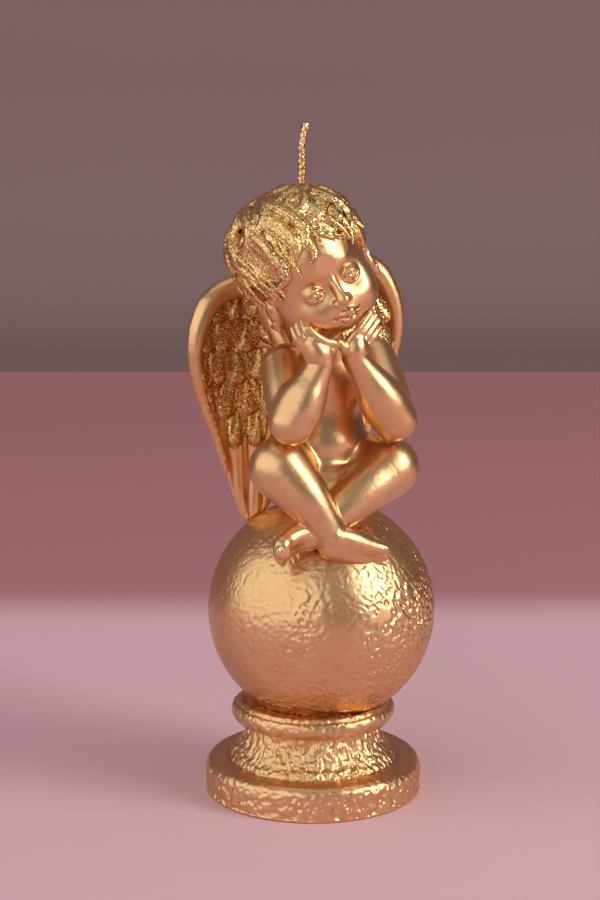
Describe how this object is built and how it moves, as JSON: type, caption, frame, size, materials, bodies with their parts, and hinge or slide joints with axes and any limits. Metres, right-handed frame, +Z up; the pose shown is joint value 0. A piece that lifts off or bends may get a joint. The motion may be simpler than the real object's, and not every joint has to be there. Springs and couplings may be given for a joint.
{
  "type": "cherub figure candle",
  "caption": "Gold lacquered cast wax figure of a winged cherub sitting cross-legged on a ball over a turned foot, with a cotton wick.",
  "frame": {"origin": "centre of the foot's flat underside", "axes": "+Z up the figure, -Y the way the cherub faces, -X the cherub's right side"},
  "size_m": [0.0538, 0.051, 0.1502],
  "materials": {
    "gold_lacquer": "satin metallic lacquer",
    "gold_lacquer_textured": "pitted satin metallic lacquer",
    "gold_glitter": "fine glitter lacquer",
    "glitter_wick": "waxed cotton with glitter lacquer"
  },
  "bodies": {
    "root": {"base_disc": "gold_lacquer_textured", "base_waist": "gold_lacquer_textured", "base_bead": "gold_lacquer_textured", "ball": "gold_lacquer_textured", "wick": "glitter_wick", "torso": "gold_lacquer", "head": "gold_lacquer", "hair": "gold_glitter", "right_ear": "gold_lacquer", "left_ear": "gold_lacquer", "right_arm": "gold_lacquer", "left_arm": "gold_lacquer", "right_hand": "gold_lacquer", "left_hand": "gold_lacquer", "right_thigh": "gold_lacquer", "left_thigh": "gold_lacquer", "right_shin": "gold_lacquer", "left_shin": "gold_lacquer", "right_foot": "gold_lacquer", "left_foot": "gold_lacquer", "right_wing": "gold_lacquer", "left_wing": "gold_lacquer", "right_wing_feathers": "gold_glitter", "left_wing_feathers": "gold_glitter"}
  },
  "joints": []
}
